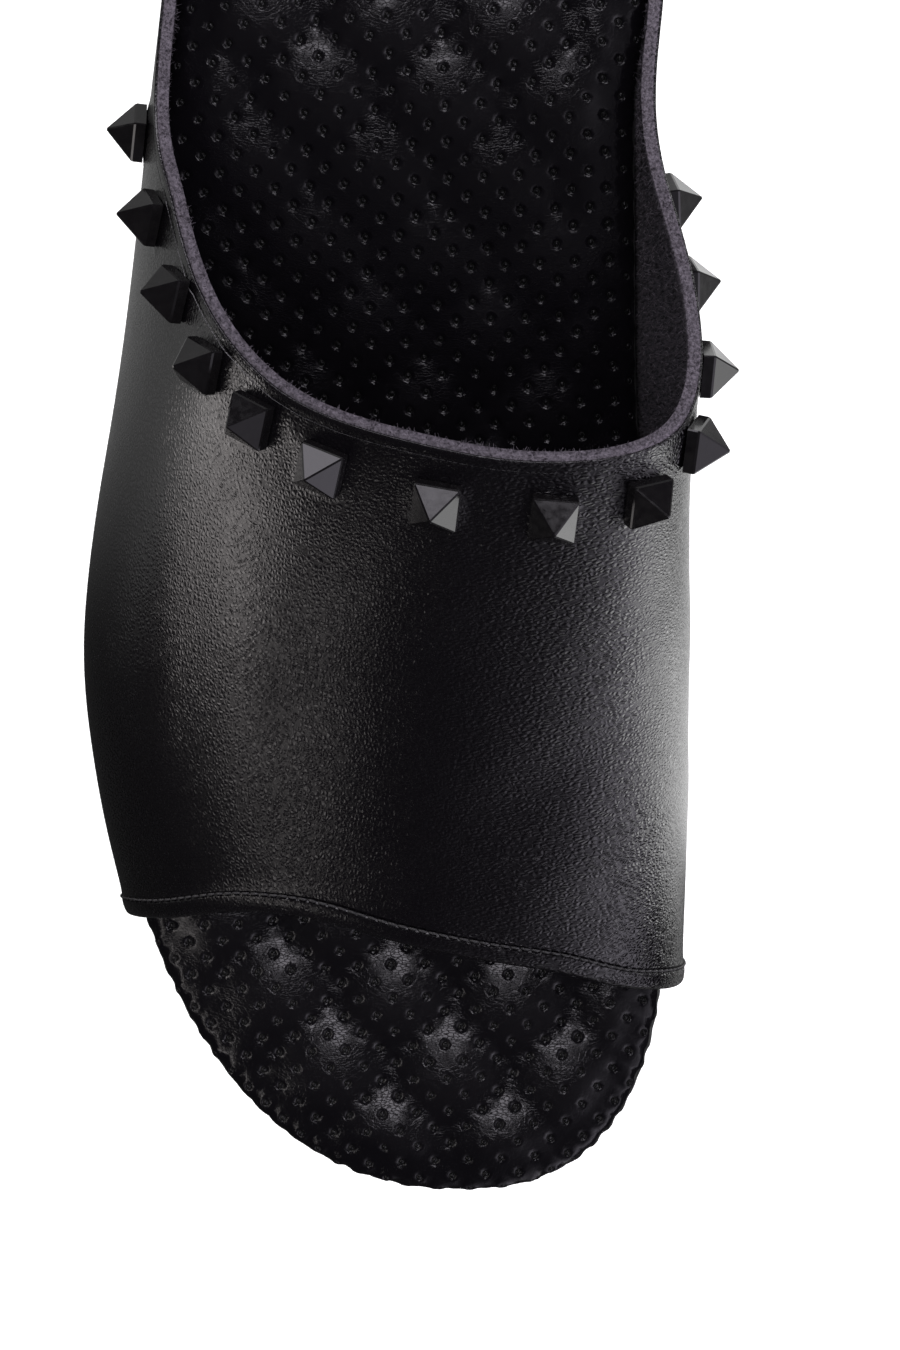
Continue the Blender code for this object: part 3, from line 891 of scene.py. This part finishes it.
mark(wedge_sole, form.faces, in_groove)
bpy.ops.mesh.inset(thickness=GROOVE_SLOPE * MM, depth=-GROOVE_DEPTH * MM)
leave()
tread = points_of(wedge_sole)
tread[:, 2] = np.maximum(tread[:, 2], 0.0)   # nothing reaches below the floor
move_points(wedge_sole, tread)
only(wedge_sole)
bpy.ops.object.shade_smooth_by_angle(angle=SOLE_SHARP)
print(len(GROOVES), "grooves;", count(wedge_sole))

# %% [markdown]
# ## Finishes
# Each finish is a small network of procedural textures on the object's own coordinates, so nothing slides
# when the view changes. These helpers add a node, set its sockets and join two sockets.


# %% Node helpers
def add(tree, kind, sockets=None, **settings):
    """A new node with its settings and its sockets' values."""
    made = tree.nodes.new(kind)
    for name, value in settings.items():
        setattr(made, name, value)
    for name, value in (sockets or {}).items():
        made.inputs[name].default_value = value
    return made


def join(tree, source, output, target, socket):
    tree.links.new(source.outputs[output], target.inputs[socket])


def new_finish(name, colour, **sockets):
    """A material with its shader's own numbers set; returns it with its tree, shader and coordinates."""
    material = bpy.data.materials.new(name)
    material.use_nodes = True
    shader = material.node_tree.nodes["Principled BSDF"]
    shader.inputs["Base Color"].default_value = (*colour, 1.0)
    for socket, value in sockets.items():
        shader.inputs[socket.replace("_", " ")].default_value = value
    material.diffuse_color = (*colour, 1.0)
    return material, material.node_tree, shader, add(material.node_tree, "ShaderNodeTexCoord")


def ramp(tree, source, output, low, high, to_low=0.0, to_high=1.0):
    """A smooth rise between two values of another node's output."""
    made = add(tree, "ShaderNodeMapRange", interpolation_type="SMOOTHSTEP")
    for index, value in ((1, low), (2, high), (3, to_low), (4, to_high)):
        made.inputs[index].default_value = value
    join(tree, source, output, made, 0)
    return made


def calc(tree, operation, first, second):
    """Math on two nodes or numbers."""
    made = add(tree, "ShaderNodeMath", operation=operation)
    for index, item in enumerate((first, second)):
        if isinstance(item, (int, float)):
            made.inputs[index].default_value = item
        else:
            tree.links.new(item.outputs[0], made.inputs[index])
    return made


def product(tree, made, *others):
    """One node's value times all the others."""
    for other in others:
        made = calc(tree, "MULTIPLY", made, other)
    return made


def noise(tree, source, scale, detail, output="Object", **sockets):
    """A noise texture on another node's coordinates."""
    made = add(tree, "ShaderNodeTexNoise", {"Scale": scale, "Detail": detail, **sockets})
    join(tree, source, output, made, "Vector")
    return made


def wandering(tree, spot, scale, detail, reach):
    """Object coordinates pushed about by a noise, so that cells don't look ruled."""
    made = add(tree, "ShaderNodeVectorMath", operation="MULTIPLY_ADD")
    made.inputs[1].default_value = reach
    join(tree, noise(tree, spot, scale, detail), "Color", made, 0)
    join(tree, spot, "Object", made, 2)
    return made


def cell_net(tree, coordinates, scale, randomness, crack, stretch, turn=0.0):
    """Height of leaning cells, 0 in the cracks between them and 1 on the cells."""
    mapping = add(tree, "ShaderNodeMapping", {"Rotation": (0.0, 0.0, turn), "Scale": stretch})
    cells = add(tree, "ShaderNodeTexVoronoi", {"Scale": scale, "Randomness": randomness},
                feature="DISTANCE_TO_EDGE")
    join(tree, coordinates, "Vector", mapping, "Vector")
    join(tree, mapping, "Vector", cells, "Vector")
    return ramp(tree, cells, "Distance", 0.0, crack)


def blend_colours(tree, share, first, second):
    made = add(tree, "ShaderNodeMixRGB")
    made.inputs["Color1"].default_value = (*first, 1.0)
    made.inputs["Color2"].default_value = (*second, 1.0)
    tree.links.new(share.outputs[0], made.inputs["Fac"])
    return made


def bump_into(tree, shader, height, strength, distance, below=None):
    made = add(tree, "ShaderNodeBump", {"Strength": strength, "Distance": distance})
    tree.links.new(height.outputs[0], made.inputs["Height"])
    if below is not None:
        tree.links.new(below.outputs[0], made.inputs["Normal"])
    tree.links.new(made.outputs[0], shader.inputs["Normal"])
    return made


# %% [markdown]
# ### Vamp leather
# The leather has a grain of small rounded pebbles under a millimetre across, parted by fine cracks. Voronoi
# cells give exactly that when their distance to the cell edge is used as height. The cells lean: upright on
# the lateral side, slanted and in stronger relief on the medial side. So two stretched nets are blended
# across the vamp. A pressed line runs along the collar, clearest on the lateral side, and the seam draws the
# leather in along the hem.

# %% Grained leather
GRAIN, GRAIN_RANDOM, GRAIN_CRACK = 1500.0, 0.95, 0.42   # the first is cells per metre
GRAIN_WANDER = (0.0005, 0.0005, 0.0005)
PRESSED_LINE, STITCH_LINE = 1.35, 3.05   # from the collar and from the hem

leather, tree, shader, spot = new_finish("vamp_leather", (0.006, 0.0055, 0.0057), Roughness=0.42,
                                         Specular_IOR_Level=0.5)
shifted = wandering(tree, spot, 420.0, 2.0, GRAIN_WANDER)
upright, slanted = (
    cell_net(tree, shifted, GRAIN, GRAIN_RANDOM, GRAIN_CRACK, stretch, math.radians(turn))
    for stretch, turn in (((1.15, 0.88, 1.0), 8.0), ((0.58, 1.3, 1.0), -38.0)))
where = add(tree, "ShaderNodeSeparateXYZ")
join(tree, spot, "Object", where, "Vector")
side = ramp(tree, where, "X", -0.02, 0.025)
grain = add(tree, "ShaderNodeMix", data_type="FLOAT")
tree.links.new(side.outputs[0], grain.inputs[0])
tree.links.new(upright.outputs[0], grain.inputs[2])
tree.links.new(slanted.outputs[0], grain.inputs[3])
patches = noise(tree, spot, 95.0, 3.0)
depth = ramp(tree, patches, "Fac", 0.3, 0.75, 0.75, 1.0)
relief = ramp(tree, where, "X", -0.01, 0.04, 1.0, 3.6)
uneven = product(tree, grain, relief, depth)
pores = noise(tree, spot, 5200.0, 2.0)
height = calc(tree, "ADD", uneven, product(tree, pores, 0.12))

hem = add(tree, "ShaderNodeAttribute", attribute_name="from_hem")
collar = add(tree, "ShaderNodeAttribute", attribute_name="from_collar")
seam_away = calc(tree, "ABSOLUTE", calc(tree, "SUBTRACT", collar, PRESSED_LINE), 0.0)
pressed = ramp(tree, seam_away, 0, 0.10, 0.30)
lateral_only = ramp(tree, where, "X", -0.026, -0.012, 0.0, 0.8)
pressed_here = calc(tree, "MAXIMUM", pressed, lateral_only)
stitch_away = calc(tree, "ABSOLUTE", calc(tree, "SUBTRACT", hem, STITCH_LINE), 0.0)
sewn_down = ramp(tree, stitch_away, 0, 0.05, 0.45)
lines = product(tree, pressed_here, sewn_down)
first_bump = bump_into(tree, shader, height, 0.38, 0.10 * MM)
bump_into(tree, shader, lines, 0.9, 0.30 * MM, first_bump)

worn_hem = ramp(tree, hem, "Fac", 0.2, 1.4, 1.0, 0.0)
worn_collar = ramp(tree, collar, "Fac", 0.1, 0.7, 1.0, 0.0)
worn = calc(tree, "MAXIMUM", worn_hem, worn_collar)
tone = calc(tree, "ADD", product(tree, grain, 0.45), product(tree, worn, 0.35))
colour = blend_colours(tree, tone, (0.0010, 0.0008, 0.0012), (0.0040, 0.0034, 0.0042))
join(tree, colour, "Color", shader, "Base Color")
cracks = ramp(tree, grain, 0, 0.02, 0.25, 0.12, 0.0)
rough = calc(tree, "ADD", ramp(tree, patches, "Fac", 0.3, 0.7, 0.18, 0.21), cracks)
join(tree, rough, 0, shader, "Roughness")
vamp_leather.data.materials.append(leather)
print("leather nodes:", len(tree.nodes))

# %% [markdown]
# ### Felt
# Felt is a mat of fine fibres: no gloss, hardly any sheen, and a mottled grey with a touch of mauve. The wall
# inside the throat is painted darker than the cut edge: painted shade. Two noises, both stretched like
# fibres, give its nap.

# %% Felt finish
felt, tree, shader, spot = new_finish("grey_felt", (0.12, 0.108, 0.125), Roughness=0.95,
                                      Specular_IOR_Level=0.0, Sheen_Weight=0.008, Sheen_Roughness=0.6)
combed = add(tree, "ShaderNodeMapping", {"Scale": (1.0, 1.0, 0.12), "Rotation": (0.15, 0.1, 0.0)})
join(tree, spot, "Object", combed, "Vector")
mottle = noise(tree, combed, 2000.0, 4.0, "Vector", Roughness=0.7)
fibres = noise(tree, combed, 2600.0, 3.0, "Vector", Distortion=0.8)
nap = calc(tree, "ADD", mottle, product(tree, fibres, 0.8))
shade = ramp(tree, nap, 0, 0.50, 1.26)
collar = add(tree, "ShaderNodeAttribute", attribute_name="from_collar")
# The felt is painted darker away from the collar edge: painted shade on the wall inside the throat.
cut = ramp(tree, collar, "Fac", 0.4, 2.0, 1.0, 0.46)
lit = product(tree, shade, cut)
colour = blend_colours(tree, lit, (0.0035, 0.0029, 0.0043), (0.115, 0.102, 0.122))
join(tree, colour, "Color", shader, "Base Color")
bump_into(tree, shader, nap, 0.9, 0.25 * MM)
for piece in (vamp_lining, collar_fuzz, lining_nap):
    piece.data.materials.append(felt)
print("felt nodes:", len(tree.nodes))

# %% [markdown]
# ### Thread
# Waxed black thread is twisted from thin plies. A fine wave across the stitch stands for the twist.

# %% Thread finish
thread, tree, shader, spot = new_finish("black_thread", (0.012, 0.012, 0.013), Roughness=0.5)
plies = add(tree, "ShaderNodeTexWave", {"Scale": 1500.0, "Distortion": 1.0}, bands_direction="DIAGONAL")
join(tree, spot, "Object", plies, "Vector")
colour = blend_colours(tree, plies, (0.007, 0.007, 0.008), (0.022, 0.021, 0.022))
join(tree, colour, "Color", shader, "Base Color")
bump_into(tree, shader, plies, 0.4, 0.05 * MM)
hem_stitches.data.materials.append(thread)
print("thread nodes:", len(tree.nodes))

# %% [markdown]
# ### Footbed leather
# This leather is smoother and glossier than the vamp. It is drawn tight over the bumps, which catch the
# light;
# their tops are also painted a shade paler, a painted sheen. It is dull in the pricked holes, which are
# painted near-black as painted shade. Fine wrinkles break the gloss.

# %% Smooth leather
WRINKLES, WRINKLE_WIDTH = 1900.0, 0.12
WRINKLE_WANDER = (0.0011, 0.0007, 0.0)

smooth_leather, tree, shader, spot = new_finish("footbed_leather", (0.010, 0.0095, 0.0105), Roughness=0.34,
                                                Specular_IOR_Level=0.55)
shifted = wandering(tree, spot, 600.0, 3.0, WRINKLE_WANDER)
wrinkles = cell_net(tree, shifted, WRINKLES, 1.0, WRINKLE_WIDTH, (0.6, 1.3, 1.0))
bump = add(tree, "ShaderNodeAttribute", attribute_name="bump")
hole = add(tree, "ShaderNodeAttribute", attribute_name="hole")
# Bump tops are painted a shade paler: a painted sheen.
painted_sheen = ramp(tree, bump, "Fac", 0.2, 0.95)
tone = blend_colours(tree, painted_sheen, (0.0014, 0.0012, 0.0017), (0.0026, 0.0023, 0.0029))
# The pricked holes are painted near-black: painted shade in the holes.
dark = add(tree, "ShaderNodeMixRGB", {"Color2": (0.002, 0.002, 0.002, 1.0)})
tree.links.new(ramp(tree, hole, "Fac", 0.15, 0.7).outputs[0], dark.inputs["Fac"])
join(tree, tone, "Color", dark, "Color1")
join(tree, dark, "Color", shader, "Base Color")
rough = ramp(tree, hole, "Fac", 0.5, 1.0, 0.17, 0.45)
join(tree, rough, "Result", shader, "Roughness")
bump_into(tree, shader, wrinkles, 0.12, 0.10 * MM)
footbed_leather.data.materials.append(smooth_leather)
print("footbed nodes:", len(tree.nodes))

# %% [markdown]
# ### Sole rubber
# Moulded rubber is matt, with a fine even tooth from the mould and a few paler scuffs.

# %% Rubber
rubber, tree, shader, spot = new_finish("sole_rubber", (0.016, 0.016, 0.017), Roughness=0.62)
tooth = noise(tree, spot, 2200.0, 2.0)
scuffs = noise(tree, spot, 70.0, 6.0, Distortion=0.6)
pale = ramp(tree, scuffs, "Fac", 0.45, 0.8)
colour = blend_colours(tree, pale, (0.013, 0.013, 0.0135), (0.030, 0.030, 0.031))
join(tree, colour, "Color", shader, "Base Color")
rough = ramp(tree, scuffs, "Fac", 0.3, 0.7, 0.55, 0.70)
join(tree, rough, "Result", shader, "Roughness")
bump_into(tree, shader, tooth, 0.35, 0.08 * MM)
wedge_sole.data.materials.append(rubber)
print("rubber nodes:", len(tree.nodes))

# %% [markdown]
# ### Stud enamel
# The pyramid studs are pressed metal with black enamel: hard, nearly even gloss with the faintest orange
# peel. Their CAD solids already have the crisp bevelled edges that draw the bright lines, so they keep their
# shape and only get the finish.

# %% Enamel
enamel, tree, shader, spot = new_finish("stud_enamel", (0.003, 0.003, 0.003), Roughness=0.13,
                                        Specular_IOR_Level=0.35)
peel = noise(tree, spot, 900.0, 2.0)
rough = ramp(tree, peel, "Fac", 0.3, 0.7, 0.10, 0.16)
join(tree, rough, "Result", shader, "Roughness")
colour = blend_colours(tree, peel, (0.0020, 0.0017, 0.0021), (0.0050, 0.0046, 0.0050))
join(tree, colour, "Color", shader, "Base Color")
bump_into(tree, shader, peel, 0.12, 0.03 * MM)
for stud in studs:
    stud.data.materials.clear()
    stud.data.materials.append(enamel)
print(len(studs), "studs enamelled")

# %% [markdown]
# ## Floor and light
# The slipper lies on a plain white floor. Black leather shows its form only by what it mirrors, so the light
# is what a photographer would set. Three slanted strip lamps hang close to the lateral side, just outside the
# picture, and draw the long highlight there. A panel behind the heel lights the studs, and a small one
# overhead lights the bumps of the footbed. A wide fill and a medial panel whiten the floor and are kept out
# of reflections.
#
# White paper all round would turn the leather grey. So reflections see a floor and walls that are mostly
# dark, as if a photographer had laid black card there. They stay bright on the medial side, for the bright
# rim, and partly so on the lateral side towards the heel.

# %% Towards a part of the studio
def way_to(azimuth, elevation):
    """A direction in the studio: azimuth 0 is medial, 90 heel."""
    across, up = math.radians(azimuth), math.radians(elevation)
    return Vector((math.cos(across) * math.cos(up), math.sin(across) * math.cos(up), math.sin(up)))


MEDIAL_WAY = way_to(-28.0, 0.0)


def towards(tree, coordinates, output, centre, aim, power):
    """1 for what lies straight out that way from the centre, 0 from a right angle to it."""
    apart = add(tree, "ShaderNodeVectorMath", operation="SUBTRACT")
    apart.inputs[1].default_value = centre
    join(tree, coordinates, output, apart, 0)
    way = add(tree, "ShaderNodeVectorMath", operation="NORMALIZE")
    join(tree, apart, "Vector", way, 0)
    facing = add(tree, "ShaderNodeVectorMath", operation="DOT_PRODUCT")
    facing.inputs[1].default_value = aim
    join(tree, way, "Vector", facing, 0)
    facing_only = add(tree, "ShaderNodeMath", operation="MAXIMUM")
    facing_only.inputs[1].default_value = 0.0
    join(tree, facing, "Value", facing_only, 0)
    return calc(tree, "POWER", facing_only, power)


# %% Floor
FLOOR_SIZE = 8.0
FLOOR_GLOW = 0.45          # keeps the paper white in the corners
FLOOR_CENTRE = (0.02, -0.05, 0.0)
MIRRORED_FLOOR = 0.03      # what reflections see of the dark part of the floor
MIRRORED_MEDIAL, MEDIAL_HEELWARDS = 3.4, 0.25    # the far medial part, and its share left near the heel
MIRRORED_LATERAL, LATERAL_NEAR = 0.8, 0.30       # the lateral part, far from the slipper and near it
MIRRORED_PAPER = 1.1       # the strip of floor right beside the medial side

floor = fresh(bpy.ops.mesh.primitive_plane_add, "floor", size=FLOOR_SIZE)
paper, tree, shader, spot = new_finish("white_floor", (0.9, 0.9, 0.9), Roughness=0.9, Specular_IOR_Level=0.1,
                                       Emission_Strength=FLOOR_GLOW)
shader.inputs["Emission Color"].default_value = (1.0, 1.0, 1.0, 1.0)
where = add(tree, "ShaderNodeSeparateXYZ")
join(tree, spot, "Object", where, "Vector")
far_medial = product(
    tree, ramp(tree, where, "X", 0.045, 0.11, 0.0, MIRRORED_MEDIAL),
    towards(tree, spot, "Object", FLOOR_CENTRE, MEDIAL_WAY, 3.0),
    ramp(tree, where, "Y", -0.060, -0.028, 1.0, MEDIAL_HEELWARDS))
beside_shoe = product(
    tree, ramp(tree, where, "X", 0.040, 0.052), ramp(tree, where, "X", 0.080, 0.115, 1.0, 0.0),
    ramp(tree, where, "Y", -0.078, -0.066, 0.0, MIRRORED_PAPER))
medial_part = calc(tree, "ADD", calc(tree, "ADD", far_medial, beside_shoe), MIRRORED_FLOOR)
lateral_part = ramp(tree, where, "X", -0.28, -0.09, MIRRORED_LATERAL, LATERAL_NEAR)
slant = add(tree, "ShaderNodeVectorMath", operation="DOT_PRODUCT")
slant.inputs[1].default_value = (-0.25, 1.0, 0.0)
join(tree, spot, "Object", slant, 0)
heelwards = ramp(tree, slant, "Value", -0.02, 0.045)
seen = calc(tree, "ADD", medial_part, product(tree, lateral_part, heelwards))
dimmed = add(tree, "ShaderNodeEmission")
join(tree, seen, 0, dimmed, "Strength")
ray = add(tree, "ShaderNodeLightPath")
choice = add(tree, "ShaderNodeMixShader")
join(tree, ray, "Is Glossy Ray", choice, "Fac")
tree.links.new(shader.outputs[0], choice.inputs[1])
tree.links.new(dimmed.outputs[0], choice.inputs[2])
tree.links.new(choice.outputs[0], tree.nodes["Material Output"].inputs["Surface"])
floor.data.materials.append(paper)
print("floor nodes:", len(tree.nodes))

# %% [markdown]
# ### Flag
# The medial end of the hem would mirror that bright medial floor too, but it is to stay dark. A small upright
# black card beside the toe stands between them. Only reflections see it, and it casts no shadow.

# %% Flag
FLAG_PLACE, FLAG_SIZE = (0.070, -0.1415, 0.021), (0.042, 0.117, 1.0)

bpy.ops.object.select_all(action="DESELECT")
bpy.ops.mesh.primitive_plane_add(size=1.0, location=FLAG_PLACE, rotation=(0.0, math.pi / 2.0, 0.0))
flag = bpy.context.object
flag.name = "flag"
flag.scale = FLAG_SIZE
bpy.ops.object.transform_apply(location=True, rotation=True, scale=True)
flag.visible_camera = flag.visible_shadow = flag.visible_diffuse = False
card, *_ = new_finish("black_card", (0.004, 0.004, 0.004), Roughness=1.0, Specular_IOR_Level=0.0)
flag.data.materials.append(card)
print("flag beside the toe, seen only in reflections")

# %% [markdown]
# ### Lamps
# The large panels are placed by direction and distance, the strips by the place of their middle. Their power
# follows from an even brightness of the panel, so a size can change without changing the highlight's tone.

# %% Softboxes and strips
WARM, COOL, NEUTRAL = (1.0, 0.94, 0.93), (1.0, 0.955, 1.05), (1.0, 1.0, 1.0)
AIM = Vector((0.0, -0.02, 0.04))
Softbox = namedtuple("Softbox", "name azimuth elevation away wide tall glow colour mirrored")
SOFTBOXES = (              # azimuth 0 is medial, 90 heel; glow is the brightness of the panel
    Softbox("fill", 90.0, 86.0, 1.5, 1.4, 1.4, 5.5, NEUTRAL, False),
    Softbox("medial_panel", -20.0, 22.0, 0.80, 0.85, 0.55, 2.0, COOL, False),
    Softbox("heel_panel", 88.0, 28.0, 1.0, 0.80, 0.45, 4.6, COOL, True),
    Softbox("top_panel", 90.0, 86.5, 1.2, 0.20, 0.18, 4.8, COOL, True),
)
STRIPS = (                 # name, centre, length, width, slant up towards the toe, glow
    ("lateral_strip", (-0.09, -0.030, 0.072), 0.080, 0.024, 20.0, 3.9),
    ("middle_strip", (-0.09, -0.086, 0.090), 0.050, 0.020, 33.0, 2.3),
    ("toe_strip", (-0.09, -0.147, 0.133), 0.085, 0.016, 41.0, 3.0),
)


def hang(name, place, facing, size, roll, glow, colour, mirrored):
    """A rectangular lamp of an even brightness."""
    bpy.ops.object.light_add(type="AREA", location=place)
    lamp = bpy.context.object
    lamp.name = name
    lamp.data.shape = "RECTANGLE"
    lamp.data.size, lamp.data.size_y = size
    lamp.data.energy = glow * math.pi * size[0] * size[1]
    lamp.data.color = colour
    lamp.visible_glossy, lamp.visible_camera = mirrored, False
    aimed = facing.to_track_quat("-Z", "Y") @ Quaternion((0.0, 0.0, 1.0), math.radians(roll))
    lamp.rotation_euler = aimed.to_euler()


for box in SOFTBOXES:
    way = way_to(box.azimuth, box.elevation)
    hang(box.name, AIM + way * box.away, -way, (box.wide, box.tall), 0.0, box.glow, box.colour, box.mirrored)
for name, place, length, width, slant, glow in STRIPS:
    hang(name, place, Vector((1.0, 0.0, 0.0)), (length, width), slant, glow, WARM, True)
print([lamp.name for lamp in bpy.data.objects if lamp.type == "LIGHT"])

# %% [markdown]
# ### Studio walls
# The camera sees pale walls. Everything else sees dark ones with a bright medial side.

# %% Studio walls
WALL_SEEN, WALL_DARK, WALL_MEDIAL = 0.85, 0.03, 2.5
WALL_TINT = (1.0, 0.945, 1.09, 1.0)

studio = bpy.data.worlds.new("studio")
bpy.context.scene.world = studio
studio.use_nodes = True
tree = studio.node_tree
spot = add(tree, "ShaderNodeTexCoord")
medial_wall = towards(tree, spot, "Generated", (0.0, 0.0, 0.0), MEDIAL_WAY, 4.0)
mirrored = calc(tree, "ADD", product(tree, medial_wall, WALL_MEDIAL), WALL_DARK)
ray = add(tree, "ShaderNodeLightPath")
walls = add(tree, "ShaderNodeMix", data_type="FLOAT")
join(tree, ray, "Is Camera Ray", walls, 0)
tree.links.new(mirrored.outputs[0], walls.inputs[2])
walls.inputs[3].default_value = WALL_SEEN
join(tree, walls, 0, tree.nodes["Background"], "Strength")
tree.nodes["Background"].inputs["Color"].default_value = WALL_TINT
bpy.context.scene.view_settings.view_transform = "Standard"
print("studio set")

# %% [markdown]
# ## Ride and replace
# The slipper has no joints, so every piece rides on the one body. The new skins take the place of the plain
# solids they were laid on, which are hidden but stay in the simulation for contact.

# %% Hand over
for piece, node, slot in (
    (vamp_leather, "upper", "upper"),
    (vamp_lining, "upper", None),
    (collar_fuzz, None, None),
    (lining_nap, None, None),
    (hem_stitches, None, "upper"),
    (footbed_leather, "insole", "footbed"),
    (wedge_sole, "outsole", "sole"),
):
    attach(piece, "root")
    if node:
        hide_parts(node)

bpy.context.view_layer.update()
